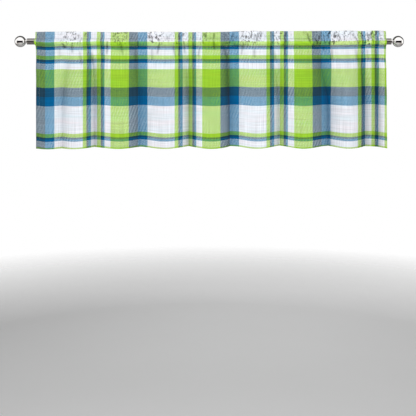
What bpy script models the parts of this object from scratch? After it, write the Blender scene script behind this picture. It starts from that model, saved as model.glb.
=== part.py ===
# A window valance: one sheet of plaid cloth, sewn into a standing heading, a rod pocket and a bottom
# hem, hanging in folds from a plain curtain rod with a ball finial at each end.
# Metres, +Z up. The origin is the middle of the rod's axis, and the cloth's front faces -Y.

import math
from collections import namedtuple

import bmesh
import bpy
from mathutils import Matrix

COLLECTION_NAME = "window_valance"
CLOTH_COLOUR = (0.42, 0.62, 0.30, 1.0)
NICKEL_COLOUR = (0.62, 0.60, 0.58, 1.0)

# Rod and finials
ROD_LENGTH = 1.422
ROD_RADIUS = 0.012
ROD_WALL = 0.0015
ROD_SIDES = 48
BALL_RADIUS = 0.0222
BALL_FROM_MIDDLE = 0.7395
BALL_RINGS = 12
NECK_RADIUS = 0.0064
NECK_FLARE = 0.0012
SHOULDER_THICK = 0.0016
SHOULDER_BEVEL = 0.0006
PLUG_LENGTH = 0.018
FINIAL_SIDES = 32
FIT_GAP = 0.0003
MERGE = 0.0001

# Cloth, measured on the middle of its thickness. LAYER_STEP parts two layers that are sewn together,
# and between its seam and its top edge the heading stands open by HEADING_PUFF more.
THICKNESS = 0.001
LAYER_STEP = 0.0015
HEADING_PUFF = 0.0016
LEFT_EDGE = -0.675
RIGHT_EDGE = 0.690
HEADING_TOP = 0.0405
HEADING_SEAM = 0.016
POCKET_SEAM = -0.020
TAIL_END = -0.029
HEM_BOTTOM = -0.418
HEM_TOP = -0.386
TURN_RISE = 0.0009
PANEL_ROWS = (-0.031, -0.044, -0.062, -0.086, -0.118, -0.190, -0.280, -0.350, -0.386)

# How far the side edges stand out at each height: over the pocket most of all, and at the hem on the right
EDGE_WIDTH = 0.040
EdgeShift = namedtuple("EdgeShift", "z left right")
EDGE_SHIFTS = (
    EdgeShift(-0.420, -0.0013, 0.0049),
    EdgeShift(-0.150, -0.0013, 0.0014),
    EdgeShift(-0.070, 0.0, 0.0019),
    EdgeShift(-0.030, 0.0024, 0.0040),
    EdgeShift(-0.015, 0.0040, 0.0030),
    EdgeShift(-0.010, 0.0071, 0.0020),
    EdgeShift(0.009, 0.0071, 0.0020),
    EdgeShift(0.014, 0.0042, 0.0025),
    EdgeShift(0.036, 0.0042, 0.0025),
    EdgeShift(0.044, 0.0042, 0.0005),
)

# The top edge is never quite level: its height along the width
TopPoint = namedtuple("TopPoint", "x z")
TOP_LINE = (
    TopPoint(-0.680, 0.0391),
    TopPoint(-0.575, 0.0403),
    TopPoint(-0.450, 0.0395),
    TopPoint(-0.372, 0.0374),
    TopPoint(-0.310, 0.0389),
    TopPoint(-0.169, 0.0396),
    TopPoint(-0.040, 0.0379),
    TopPoint(0.081, 0.0398),
    TopPoint(0.112, 0.0420),
    TopPoint(0.175, 0.0434),
    TopPoint(0.222, 0.0412),
    TopPoint(0.269, 0.0429),
    TopPoint(0.331, 0.0420),
    TopPoint(0.519, 0.0434),
    TopPoint(0.550, 0.0445),
    TopPoint(0.595, 0.0426),
    TopPoint(0.644, 0.0442),
    TopPoint(0.700, 0.0432),
)

# The hanging panel's folds begin under the pocket and are full from FOLDS_FULL down
FOLDS_START = -0.024
FOLDS_FULL = -0.118
FOLD_DEPTH = 0.040
CREST_PLANE = -0.021
TROUGH_LIFT = 0.006
SETTLING = 1.6
SLOPE_STEP = 0.005
LEAST_TURN = 0.35

# Broad crests stand forward, here from left to right in even steps, and pinched troughs lie between
# them. A trough has its place below the pocket and at the hem, its depth behind the crests, and how
# far it reaches to its left and its right.
CREST_PLANES = (-0.0215, -0.0225, -0.0245, -0.0255, -0.0245, -0.0255, -0.0245, -0.0255, -0.0225)
Trough = namedtuple("Trough", "x_top x_low depth left right")
TROUGHS = (
    Trough(-0.556, -0.576, 0.028, 0.021, 0.020),
    Trough(-0.464, -0.452, 0.048, 0.020, 0.019),
    Trough(-0.285, -0.272, 0.034, 0.023, 0.036),
    Trough(-0.088, -0.080, 0.048, 0.022, 0.019),
    Trough(0.070, 0.082, 0.046, 0.010, 0.033),
    Trough(0.258, 0.276, 0.042, 0.023, 0.024),
    Trough(0.440, 0.470, 0.050, 0.030, 0.033),
    Trough(0.602, 0.611, 0.044, 0.020, 0.015),
    Trough(0.652, 0.660, 0.026, 0.011, 0.010),
)
TROUGH_ROUNDING = 0.003

# The sheet's columns: their distances from each trough, then even steps over the crest between two
STATIONS_BY_TROUGH = (0.008, 0.019, 0.036)
STATION_STEP = 0.034
LEAST_STATION = 0.004

# Shallow gathers of heading and pocket: the length, depth and shift of each wave
Gather = namedtuple("Gather", "length depth shift")
GATHERS = (
    Gather(0.097, 0.0020, 0.40),
    Gather(0.143, 0.0016, 2.10),
    Gather(0.231, 0.0012, 4.40),
)
GATHER_ABOVE_SEAM = 0.35
GATHER_AT_TOP = 1.5
GATHER_BELOW_SEAM = 0.45

# The pocket round the rod: degrees from straight up, radius before and behind the rod, and how much
# of the gathers reaches it
PocketRow = namedtuple("PocketRow", "angle front back gather")
POCKET = (
    PocketRow(37, 0.0129, 0.0129, 0.0),
    PocketRow(62, 0.0137, 0.0134, 0.2),
    PocketRow(88, 0.0144, 0.0137, 0.3),
    PocketRow(112, 0.0144, 0.0137, 0.3),
    PocketRow(134, 0.0139, 0.0136, 0.1),
)


def clear_scene():
    for old in list(bpy.data.objects):
        bpy.data.objects.remove(old, do_unlink=True)


def new_collection(name):
    group = bpy.data.collections.new(name)
    bpy.context.scene.collection.children.link(group)
    return group


def principled(name, colour, roughness, metallic):
    material = bpy.data.materials.new(name)
    material.use_nodes = True
    shader = material.node_tree.nodes["Principled BSDF"]
    shader.inputs["Base Color"].default_value = colour
    shader.inputs["Roughness"].default_value = roughness
    shader.inputs["Metallic"].default_value = metallic
    return material


def add_object(name, mesh, group, material):
    obj = bpy.data.objects.new(name, mesh)
    if not mesh.materials:
        mesh.materials.append(material)
    group.objects.link(obj)
    return obj


def smooth_step(value):
    value = min(1.0, max(0.0, value))
    return value * value * (3 - 2 * value)


def mix(first, second, share):
    return first + (second - first) * share


# Shape of the cloth

def drop_share(z):
    """0 at the pocket seam, 1 at the hem."""
    return min(1.0, max(0.0, (POCKET_SEAM - z) / (POCKET_SEAM - HEM_BOTTOM)))


def settled(z):
    """How far the folds have moved from their upper to their lower places."""
    return smooth_step(SETTLING * drop_share(z))


def along_table(table, value, column):
    """The column's value between the two rows of the table that lie round the given first value."""
    if value <= table[0][0]:
        return table[0][column]
    for before, after in zip(table, table[1:]):
        if value <= after[0]:
            return mix(before[column], after[column], (value - before[0]) / (after[0] - before[0]))
    return table[-1][column]


def crest_at(x):
    place = (x - LEFT_EDGE) / (RIGHT_EDGE - LEFT_EDGE) * (len(CREST_PLANES) - 1)
    here = max(0, min(len(CREST_PLANES) - 2, math.floor(place)))
    return mix(CREST_PLANES[here], CREST_PLANES[here + 1], min(1.0, max(0.0, place - here)))


def fold_at(x, z):
    """The Y of the full fold at x: broad crests forward, pinched troughs back."""
    y = crest_at(x)
    for trough in TROUGHS:
        away = x - mix(trough.x_top, trough.x_low, settled(z))
        reach = trough.left if away < 0 else trough.right
        y += trough.depth * math.exp((TROUGH_ROUNDING - math.hypot(away, TROUGH_ROUNDING)) / reach)
    return y


def gather_at(x):
    return sum(wave.depth * math.sin(2 * math.pi * x / wave.length + wave.shift) for wave in GATHERS)


def edge_pull(x, z):
    left = smooth_step(1 - (x - LEFT_EDGE) / EDGE_WIDTH)
    right = smooth_step(1 - (RIGHT_EDGE - x) / EDGE_WIDTH)
    return right * along_table(EDGE_SHIFTS, z, 2) - left * along_table(EDGE_SHIFTS, z, 1)


def layer_step(z):
    if z <= HEADING_SEAM:
        return LAYER_STEP
    up = (z - HEADING_SEAM) / (HEADING_TOP - HEADING_SEAM)
    return LAYER_STEP + HEADING_PUFF * math.sin(math.pi * min(1.0, up))


def front_point(x, z):
    """The front layer, above the heading seam or below the pocket seam."""
    gather = gather_at(x)
    if z >= HEADING_SEAM:
        up = (z - HEADING_SEAM) / (HEADING_TOP - HEADING_SEAM)
        y = gather * mix(GATHER_ABOVE_SEAM, GATHER_AT_TOP, smooth_step(up))
        rise = up * (along_table(TOP_LINE, x, 1) - THICKNESS / 2 - HEADING_TOP)
    else:
        fold = fold_at(x, z)
        share = smooth_step((FOLDS_START - z) / (FOLDS_START - FOLDS_FULL))
        y = mix(gather * GATHER_BELOW_SEAM, fold, share)
        rise = TROUGH_LIFT * share * math.sqrt(drop_share(z)) * (fold - CREST_PLANE) / FOLD_DEPTH
    return [x + edge_pull(x, z), y - layer_step(z) / 2, z + rise]


def back_point(x, z):
    """The turned layer, one step behind the front one and square to the folds, mitred where they turn."""
    before, point, after = [front_point(x + step, z) for step in (-SLOPE_STEP, 0.0, SLOPE_STEP)]
    normals = []
    for first, second in ((before, point), (point, after)):
        across = (second[0] - first[0], second[1] - first[1])
        length = math.hypot(*across)
        normals.append((-across[1] / length, across[0] / length))
    middle = ((normals[0][0] + normals[1][0]) / 2, (normals[0][1] + normals[1][1]) / 2)
    turn = max(LEAST_TURN, math.hypot(*middle))
    point[0] += layer_step(z) * middle[0] / turn ** 2
    point[1] += layer_step(z) * middle[1] / turn ** 2
    return point


def turn_point(x, z, rise):
    """The middle of a turned edge, between the two layers."""
    point = [(front + back) / 2 for front, back in zip(front_point(x, z), back_point(x, z))]
    point[2] += rise
    return point


def pocket_point(x, row, side):
    """The pocket before the rod (side -1) or behind it (side 1)."""
    slack = sum(wave.depth for wave in GATHERS) + gather_at(x)
    radius = (row.front if side < 0 else row.back) + row.gather * slack
    turn = math.radians(row.angle)
    z = radius * math.cos(turn)
    return [x + edge_pull(x, z), side * radius * math.sin(turn), z]


def sheet_rows():
    """Each row of the sheet as (function, its further values), from the back tail over the rod to the hem."""
    heading = (HEADING_SEAM, (HEADING_SEAM + HEADING_TOP) / 2, HEADING_TOP - TURN_RISE)
    hem = HEM_BOTTOM + TURN_RISE
    rows = [(back_point, (TAIL_END,)), (back_point, (POCKET_SEAM,))]
    rows += [(pocket_point, (row, 1)) for row in reversed(POCKET)]
    rows += [(back_point, (z,)) for z in heading]
    rows += [(turn_point, (heading[-1], TURN_RISE))]
    rows += [(front_point, (z,)) for z in reversed(heading)]
    rows += [(pocket_point, (row, -1)) for row in POCKET]
    rows += [(front_point, (z,)) for z in (POCKET_SEAM, *PANEL_ROWS, hem)]
    rows += [(turn_point, (hem, -TURN_RISE))]
    rows += [(back_point, (z,)) for z in (hem, HEM_TOP)]
    return rows


def station_places():
    """Where the sheet's columns stand below the pocket and at the hem: they follow the troughs."""
    stops = [(LEFT_EDGE, LEFT_EDGE)] + [(trough.x_top, trough.x_low) for trough in TROUGHS]
    stops.append((RIGHT_EDGE, RIGHT_EDGE))
    places = [stops[0]]
    for number, (here, after) in enumerate(zip(stops, stops[1:])):
        room = min(after[0] - here[0], after[1] - here[1])
        near = [step for step in STATIONS_BY_TROUGH if step < room / 2 - LEAST_STATION]
        first = []
        last = []
        if number > 0:
            first = [(here[0] + step, here[1] + step) for step in near]
        if number < len(TROUGHS):
            last = [(after[0] - step, after[1] - step) for step in reversed(near)]
        start = (first or [here])[-1]
        end = (last or [after])[0]
        steps = max(1, math.ceil((end[1] - start[1]) / STATION_STEP))
        shares = [step / steps for step in range(1, steps)]
        between = [(mix(start[0], end[0], share), mix(start[1], end[1], share)) for share in shares]
        places += first + between + last + [after]
    return places


def make_cloth(group, material):
    rows = sheet_rows()
    places = station_places()
    wide = len(places) - 1
    high = len(rows) - 1
    sheet = bmesh.new()
    bmesh.ops.create_grid(sheet, x_segments=wide, y_segments=high, size=0.5)
    for vertex in sheet.verts:
        top, low = places[round((vertex.co.x + 0.5) * wide)]
        shape, values = rows[round((vertex.co.y + 0.5) * high)]
        z = shape(top, *values)[2]
        vertex.co = shape(mix(top, low, settled(z)), *values)
    mesh = bpy.data.meshes.new("valance_cloth")
    sheet.to_mesh(mesh)
    sheet.free()
    mesh.shade_smooth()
    cloth = add_object("valance_cloth", mesh, group, material)
    wall = cloth.modifiers.new("cloth_thickness", "SOLIDIFY")
    wall.thickness = THICKNESS
    wall.offset = 0
    wall.use_even_offset = True


# Rod and finials are each turned about their own Z axis and laid along X

def turned_object(name, mesh, group, material, sides):
    obj = add_object(name, mesh, group, material)
    turn = obj.modifiers.new("turned", "SCREW")
    turn.axis = "Z"
    turn.angle = 2 * math.pi
    turn.steps = sides
    turn.render_steps = sides
    turn.use_merge_vertices = True
    turn.merge_threshold = MERGE
    turn.use_smooth_shade = True
    return obj


def profile_mesh(name, profile, closed):
    """A profile of (radius, height) points, which runs top to bottom on its outer side."""
    outline = bmesh.new()
    points = [outline.verts.new((radius, 0, height)) for radius, height in profile]
    ends = points[1:] + points[:1] if closed else points[1:]
    for first, second in zip(points, ends):
        outline.edges.new((first, second))
    mesh = bpy.data.meshes.new(name)
    outline.to_mesh(mesh)
    outline.free()
    return mesh


def make_rod(group, material):
    half = ROD_LENGTH / 2
    bore = ROD_RADIUS - ROD_WALL
    profile = ((ROD_RADIUS, half), (ROD_RADIUS, -half), (bore, -half), (bore, half))
    rod = turned_object("rod", profile_mesh("rod", profile, True), group, material, ROD_SIDES)
    # Half a side of turn puts a flat straight down, where a bracket carries the rod.
    rod.matrix_world = Matrix.Rotation(math.pi / 2, 4, "Y") @ Matrix.Rotation(math.pi / ROD_SIDES, 4, "Z")


def finial_profile():
    """From the ball's tip inwards: ball, neck, shoulder on the tube's end, and the plug inside it."""
    shoulder_in = ROD_LENGTH / 2 + FIT_GAP
    shoulder_out = shoulder_in + SHOULDER_THICK
    plug_radius = ROD_RADIUS - ROD_WALL - FIT_GAP
    plug_end = shoulder_in - PLUG_LENGTH
    ball_turn = math.pi - math.asin(NECK_RADIUS / BALL_RADIUS)
    points = [(0.0, BALL_FROM_MIDDLE + BALL_RADIUS)]
    for ring in range(1, BALL_RINGS + 1):
        turn = ball_turn * ring / BALL_RINGS
        points.append((BALL_RADIUS * math.sin(turn), BALL_FROM_MIDDLE + BALL_RADIUS * math.cos(turn)))
    points += [
        (NECK_RADIUS, shoulder_out + NECK_FLARE),
        (NECK_RADIUS + NECK_FLARE, shoulder_out),
        (ROD_RADIUS - SHOULDER_BEVEL, shoulder_out),
        (ROD_RADIUS, shoulder_out - SHOULDER_BEVEL),
        (ROD_RADIUS, shoulder_in),
        (plug_radius, shoulder_in),
        (plug_radius, plug_end),
        (0.0, plug_end),
    ]
    return points


def make_finials(group, material):
    mesh = profile_mesh("ball_finial", finial_profile(), False)
    for name, turn in (("finial_left", -math.pi / 2), ("finial_right", math.pi / 2)):
        finial = turned_object(name, mesh, group, material, FINIAL_SIDES)
        finial.rotation_euler = (0, turn, 0)


def main():
    clear_scene()
    group = new_collection(COLLECTION_NAME)
    nickel = principled("polished_nickel", NICKEL_COLOUR, 0.18, 1.0)
    make_cloth(group, principled("plaid_cloth", CLOTH_COLOUR, 0.85, 0.0))
    make_rod(group, nickel)
    make_finials(group, nickel)


main()
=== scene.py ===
# A short plaid window valance on a curtain rod: heading, rod pocket, soft folds and a turned hem
import math
from collections import namedtuple

import bmesh
import bpy
import numpy as np
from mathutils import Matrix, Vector, noise


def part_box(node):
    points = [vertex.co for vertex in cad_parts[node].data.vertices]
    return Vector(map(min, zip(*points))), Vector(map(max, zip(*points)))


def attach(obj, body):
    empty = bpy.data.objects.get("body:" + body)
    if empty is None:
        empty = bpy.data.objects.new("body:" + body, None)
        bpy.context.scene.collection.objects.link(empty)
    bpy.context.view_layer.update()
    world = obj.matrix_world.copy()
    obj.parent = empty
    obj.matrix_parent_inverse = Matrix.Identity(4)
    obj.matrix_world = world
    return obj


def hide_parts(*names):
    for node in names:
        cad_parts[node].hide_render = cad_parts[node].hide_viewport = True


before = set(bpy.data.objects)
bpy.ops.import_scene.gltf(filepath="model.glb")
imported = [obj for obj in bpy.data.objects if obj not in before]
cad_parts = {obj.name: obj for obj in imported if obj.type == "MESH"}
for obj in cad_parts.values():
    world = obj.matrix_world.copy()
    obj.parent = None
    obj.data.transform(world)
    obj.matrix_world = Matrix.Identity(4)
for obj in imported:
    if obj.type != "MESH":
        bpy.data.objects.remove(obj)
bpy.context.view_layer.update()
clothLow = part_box("valance_cloth")[0]
rodLow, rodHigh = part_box("rod")
print("frame loaded with", ", ".join(sorted(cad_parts)))

# The photo's framing, in its own pixels
photo = {
    "pixels": 416,
    "metresPerPixel": 0.003906,
    "rodMiddleColumn": 209.2,
    "rodMiddleRow": 41.4,
    "eyeRow": 83.0,
    "distance": 3.2,
    "clothPlane": -0.008,
}


def makeCamera():
    size = photo["metresPerPixel"]
    half = photo["pixels"] / 2
    data = bpy.data.cameras.new("camera")
    data.sensor_width = 36
    data.lens = 36 * (photo["distance"] + photo["clothPlane"]) / (photo["pixels"] * size)
    data.shift_y = (photo["eyeRow"] - half) / photo["pixels"]  # keeps the upright lines upright
    camera = bpy.data.objects.new("camera", data)
    camera.location = (
        (half - photo["rodMiddleColumn"]) * size,
        -photo["distance"],
        (photo["rodMiddleRow"] - photo["eyeRow"]) * size,
    )
    camera.rotation_euler = (math.pi / 2, 0, 0)
    bpy.context.scene.collection.objects.link(camera)
    bpy.context.scene.camera = camera


makeCamera()
print("camera placed")


# Small helpers

def addPiece(name, mesh, materials=()):
    piece = bpy.data.objects.new(name, mesh)
    for material in materials:
        piece.data.materials.append(material)
    bpy.context.scene.collection.objects.link(piece)
    return piece


# The piece with its modifiers applied, as a plain mesh object of the same name
def applied(piece):
    graph = bpy.context.evaluated_depsgraph_get()
    mesh = bpy.data.meshes.new_from_object(piece.evaluated_get(graph), depsgraph=graph)
    name = piece.name
    bpy.data.objects.remove(piece)
    return addPiece(name, mesh)


def smoothStep(value):
    value = np.clip(value, 0.0, 1.0)
    return value * value * (3 - 2 * value)


def mix(first, second, share):
    return first + (second - first) * share


def newMaterial(name):
    material = bpy.data.materials.new(name)
    material.use_nodes = True
    tree = material.node_tree
    return material, tree, tree.nodes["Principled BSDF"]


def addNode(tree, kind, **settings):
    made = tree.nodes.new(kind)
    for key, value in settings.items():
        setattr(made, key, value)
    return made


# A value, or another node's output, for a socket
def give(tree, socket, value):
    if isinstance(value, bpy.types.NodeSocket):
        tree.links.new(value, socket)
    else:
        socket.default_value = value


# A node with these inputs and settings
def wired(tree, kind, inputs, **settings):
    made = addNode(tree, kind, **settings)
    for key, value in inputs.items():
        give(tree, made.inputs[key], value)
    return made


def calculate(tree, operation, first, second=0.0, third=0.0, clamp=False):
    inputs = {0: first, 1: second, 2: third}
    return wired(tree, "ShaderNodeMath", inputs, operation=operation, use_clamp=clamp).outputs[0]


def mixed(tree, share, first, second, way="MIX"):
    inputs = {"Factor": share, "A": first, "B": second}
    return wired(tree, "ShaderNodeMix", inputs, data_type="RGBA", blend_type=way).outputs["Result"]


def noiseAt(tree, vector, scale, detail=2.0, roughness=0.5):
    inputs = {"Vector": vector, "Scale": scale, "Detail": detail, "Roughness": roughness}
    return wired(tree, "ShaderNodeTexNoise", inputs).outputs["Fac"]


# A noise with its own scale along each axis
def stretchedNoise(tree, vector, scales, detail=2.0, roughness=0.5):
    placed = wired(tree, "ShaderNodeMapping", {"Vector": vector, "Scale": scales}).outputs[0]
    return noiseAt(tree, placed, 1.0, detail, roughness)


def bumped(tree, height, strength, distance):
    return wired(tree, "ShaderNodeBump", {"Height": height, "Strength": strength, "Distance": distance})


# Colours along a value, as (position, colour) from low to high
def colourRamp(tree, value, stops):
    made = wired(tree, "ShaderNodeValToRGB", {"Fac": value})
    elements = made.color_ramp.elements
    for stop, (position, colour) in zip(elements, (stops[0], stops[-1])):
        stop.position, stop.color = position, (*colour, 1)
    for position, colour in stops[1:-1]:
        elements.new(position).color = (*colour, 1)
    return made.outputs["Color"]


# The plaid: one order of stripes for both directions, widths in millimetres
yarnColours = {
    "slate": (43, 70, 87),
    "blue": (17, 100, 152),
    "white": (242, 244, 248),
    "lime": (158, 207, 58),
}
yarnCover = {"slate": 0.58, "blue": 0.50, "white": 0.42, "lime": 0.65}  # how strongly it shows
stripes = (
    ("slate", 34.8), ("blue", 35.5), ("white", 107.8),
    ("lime", 14.5), ("slate", 7.8), ("blue", 7.8), ("white", 24.2),
    ("lime", 14.1), ("slate", 7.8), ("blue", 7.8), ("white", 23.4), ("lime", 73.4),
)
plaid = {
    "repeat": sum(width for _, width in stripes) / 1000,
    "warpStart": -0.6757,
    "weftStart": -0.1800,
    "wobble": 0.0003,
    "wobbleScale": 180,
    "twillPitch": 0.0011,
    "twillSlant": -0.55,
    "twillDepth": 0.5,
    "shimmer": 0.10,
    "shimmerPitch": 0.0115,
    "shimmerSlant": -0.36,
    "slub": 0.22,             # light and dark of single threads
    "slubScales": (340, 7),
    "toneScales": (3, 26, 1),
    "tilt": 0.0030,           # how much lower the print hangs at the left edge, and higher at the right
    "tiltAtHem": 0.1,         # of it is left at the hem
    "tiltFrom": -0.400,
    "tiltOver": 0.385,
    "shiftTurn": -0.075,      # where the stripes' shifts of the lower part begin to turn into the upper ones
    "shiftTurnOver": 0.045,
    "backPaleness": 0.34,
    "backColour": (0.91, 0.92, 0.93, 1),
    "hookScales": (105, 50, 1),
    "hookSlope": -14.0,       # the steeper, the thinner the hooked lines
    "gapScales": (90, 90, 1),
    "gapSlope": 9.0,
    "gapStart": -4.05,
    "paintedRuffleShade": 1.2,
    "darkestKept": 0.2,
    "puckerScales": (150, 38, 1),
    "puckerDepth": 0.0036,
    "puckersFrom": 0.045,     # below the rod's axis, where the puckers start to show
    "puckersOver": 0.020,
    "weaveStrength": 0.30,
    "weaveDepth": 0.0003,
}


# Colour of the yarn that lies at this place, and how strongly it shows, as the ramp's alpha
def yarnRamp(tree, along, start):
    shifted = calculate(tree, "SUBTRACT", along, start)
    turns = calculate(tree, "FRACT", calculate(tree, "DIVIDE", shifted, plaid["repeat"]))
    made = wired(tree, "ShaderNodeValToRGB", {"Fac": turns})
    ramp = made.color_ramp
    ramp.interpolation = "CONSTANT"
    reached = 0.0
    for number, (yarn, width) in enumerate(stripes):
        place = reached / 1000 / plaid["repeat"]
        if number == 0:
            stop = ramp.elements[0]
        elif number == 1:
            stop = ramp.elements[1]
            stop.position = place
        else:
            stop = ramp.elements.new(place)
        stop.color = [part / 255 for part in yarnColours[yarn]] + [yarnCover[yarn]]
        reached += width
    return made.outputs["Color"], made.outputs["Alpha"]


# Light and dark along slanting lines
def slantedWave(tree, across, upDown, slant, pitch):
    place = calculate(tree, "ADD", across, calculate(tree, "MULTIPLY", upDown, slant))
    return calculate(tree, "SINE", calculate(tree, "MULTIPLY", place, 2 * math.pi / pitch))


# Warp and weft as the eye sees them together, and the twill's height
def wovenColour(tree, flat, across, upDown):
    warpColour, warpCover = yarnRamp(tree, across, plaid["warpStart"])
    weftColour, weftCover = yarnRamp(tree, calculate(tree, "MULTIPLY", upDown, -1.0), -plaid["weftStart"])
    # Twill: fine slanting lines where now the warp and now the weft lies on top
    twill = slantedWave(tree, across, upDown, plaid["twillSlant"], plaid["twillPitch"])
    # A faint, wider slant of light and dark, as twill shows from a few steps away
    shimmer = slantedWave(tree, across, upDown, plaid["shimmerSlant"], plaid["shimmerPitch"])
    patches = calculate(tree, "MULTIPLY_ADD", noiseAt(tree, flat, 9.0), 3.2, -1.25, clamp=True)
    shimmer = calculate(tree, "MULTIPLY", shimmer, patches)
    share = calculate(tree, "DIVIDE", weftCover, calculate(tree, "ADD", warpCover, weftCover))
    share = calculate(tree, "MULTIPLY_ADD", twill, plaid["twillDepth"] / 2, share)
    share = calculate(tree, "MULTIPLY_ADD", shimmer, plaid["shimmer"], share, clamp=True)
    return mixed(tree, share, warpColour, weftColour), twill


# Small hooked lines along a bent noise where heading and pocket are gathered most: painted shade of small
# wrinkles, and dents in the bump
def hookedLines(tree, flat):
    ruffled = addNode(tree, "ShaderNodeAttribute", attribute_name="ruffled").outputs["Fac"]
    bent = stretchedNoise(tree, flat, plaid["hookScales"], 1.5, 0.4)
    line = calculate(tree, "ABSOLUTE", calculate(tree, "SUBTRACT", bent, 0.5))
    line = calculate(tree, "MULTIPLY_ADD", line, plaid["hookSlope"], 1.0, clamp=True)
    gaps = stretchedNoise(tree, flat, plaid["gapScales"])
    broken = calculate(tree, "MULTIPLY_ADD", gaps, plaid["gapSlope"], plaid["gapStart"], clamp=True)
    return calculate(tree, "MULTIPLY", line, calculate(tree, "MULTIPLY", broken, ruffled))


# The print, mixed as the eye sees it, then turned into light values; on the front, painted shade and painted
# light laid over it
def makeClothMaterial(name, paleness, roughness, paintedShadeStrength):
    material, tree, shader = newMaterial(name)
    flat = addNode(tree, "ShaderNodeUVMap", uv_map="print").outputs[0]
    place = wired(tree, "ShaderNodeSeparateXYZ", {0: flat})
    wobble = noiseAt(tree, flat, plaid["wobbleScale"])
    shake = calculate(tree, "MULTIPLY_ADD", wobble, plaid["wobble"], -plaid["wobble"] / 2)
    across = calculate(tree, "ADD", place.outputs["X"], shake)
    upDown = calculate(tree, "ADD", place.outputs["Y"], shake)
    colour, twill = wovenColour(tree, flat, across, upDown)

    # Slow drift of tone, thread by thread unevenness, and a paler reverse
    drift = stretchedNoise(tree, flat, plaid["toneScales"], 4, 0.7)
    tone = colourRamp(tree, drift, ((0.32, (0.945, 0.985, 1.0)), (0.68, (1.0, 0.975, 0.985))))
    near, far = plaid["slubScales"]
    warpSlub = stretchedNoise(tree, flat, (near, far, 1), 1.0)
    weftSlub = stretchedNoise(tree, flat, (far, near, 1), 1.0)
    slub = calculate(tree, "ADD", warpSlub, weftSlub)
    shade = calculate(tree, "MULTIPLY_ADD", slub, plaid["slub"], 1 - plaid["slub"])
    colour = mixed(tree, 1.0, colour, tone, "MULTIPLY")
    colour = mixed(tree, 1.0, colour, shade, "MULTIPLY")
    colour = mixed(tree, paleness, colour, plaid["backColour"])
    light = wired(tree, "ShaderNodeGamma", {"Color": colour, "Gamma": 2.2}).outputs[0]
    # Painted shade darkens the colour in troughs, creases, under the pocket seam and along the hooked lines
    # and painted light lightens it where the shading attribute is below 0: over the rod and on the ruffled
    # heading
    line = hookedLines(tree, flat)
    depth = addNode(tree, "ShaderNodeAttribute", attribute_name="paintedShading").outputs["Fac"]
    depth = calculate(tree, "MULTIPLY_ADD", line, plaid["paintedRuffleShade"], depth)
    kept = calculate(tree, "MULTIPLY_ADD", depth, -paintedShadeStrength, 1.0)
    kept = calculate(tree, "MAXIMUM", kept, plaid["darkestKept"])
    tree.links.new(mixed(tree, 1.0, light, kept, "MULTIPLY"), shader.inputs["Base Color"])

    rough = calculate(tree, "MULTIPLY_ADD", slub, 0.12, roughness - 0.12)
    tree.links.new(rough, shader.inputs["Roughness"])
    shader.inputs["Sheen Weight"].default_value = 0.04
    shader.inputs["Sheen Roughness"].default_value = 0.5
    shader.inputs["Specular IOR Level"].default_value = 0.04
    height = calculate(tree, "MULTIPLY_ADD", twill, 0.35, calculate(tree, "MULTIPLY", slub, 0.9))
    weave = bumped(tree, height, plaid["weaveStrength"], plaid["weaveDepth"])
    # Fine puckers that the gathering leaves in heading and pocket
    start, over = plaid["puckersFrom"], plaid["puckersOver"]
    gathered = calculate(tree, "MULTIPLY_ADD", place.outputs["Y"], 1 / over, start / over, clamp=True)
    streaks = calculate(tree, "SUBTRACT", stretchedNoise(tree, flat, plaid["puckerScales"]), 0.5)
    streaks = calculate(tree, "MULTIPLY_ADD", line, -0.7, calculate(tree, "MULTIPLY", streaks, gathered))
    pucker = bumped(tree, streaks, 1.0, plaid["puckerDepth"])
    tree.links.new(weave.outputs[0], pucker.inputs["Normal"])
    tree.links.new(pucker.outputs[0], shader.inputs["Normal"])
    return material


def makeThreadMaterial():
    material, tree, shader = newMaterial("sewingThread")
    place = addNode(tree, "ShaderNodeTexCoord").outputs["Object"]
    inputs = {"Vector": place, "Scale": 900}
    ply = wired(tree, "ShaderNodeTexWave", inputs, bands_direction="DIAGONAL").outputs["Fac"]
    colour = colourRamp(tree, ply, ((0.0, (0.76, 0.79, 0.77)), (1.0, (0.88, 0.90, 0.88))))
    tree.links.new(colour, shader.inputs["Base Color"])
    tree.links.new(calculate(tree, "MULTIPLY_ADD", ply, 0.2, 0.5), shader.inputs["Roughness"])
    shader.inputs["Sheen Weight"].default_value = 0.2
    return material


def makeNickel(name, roughness, darkest, lightest):
    material, tree, shader = newMaterial(name)
    place = addNode(tree, "ShaderNodeTexCoord").outputs["Object"]
    colour = colourRamp(tree, noiseAt(tree, place, 35, 4), ((0.0, darkest), (1.0, lightest)))
    tree.links.new(colour, shader.inputs["Base Color"])
    drawn = stretchedNoise(tree, place, (8, 900, 900), 3)
    rough = calculate(tree, "MULTIPLY_ADD", drawn, roughness, roughness * 0.6)
    tree.links.new(rough, shader.inputs["Roughness"])
    shader.inputs["Metallic"].default_value = 1.0
    tree.links.new(bumped(tree, drawn, 0.06, 0.0002).outputs[0], shader.inputs["Normal"])
    return material


clothFront = makeClothMaterial("plaidFront", 0.0, 0.86, 1.0)
clothBack = makeClothMaterial("plaidReverse", plaid["backPaleness"], 0.92, 0.0)
thread = makeThreadMaterial()
finialNickel = makeNickel("finialNickel", 0.03, (0.62, 0.605, 0.59), (0.70, 0.685, 0.67))
# The rod's nickel is far darker than the finials': painted shade of the cloth that hangs over it
rodNickelInPaintedShade = makeNickel("rodNickelInPaintedShade", 0.12, (0.24, 0.225, 0.21), (0.30, 0.285, 0.27))
print("materials made")


# The cloth

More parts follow.
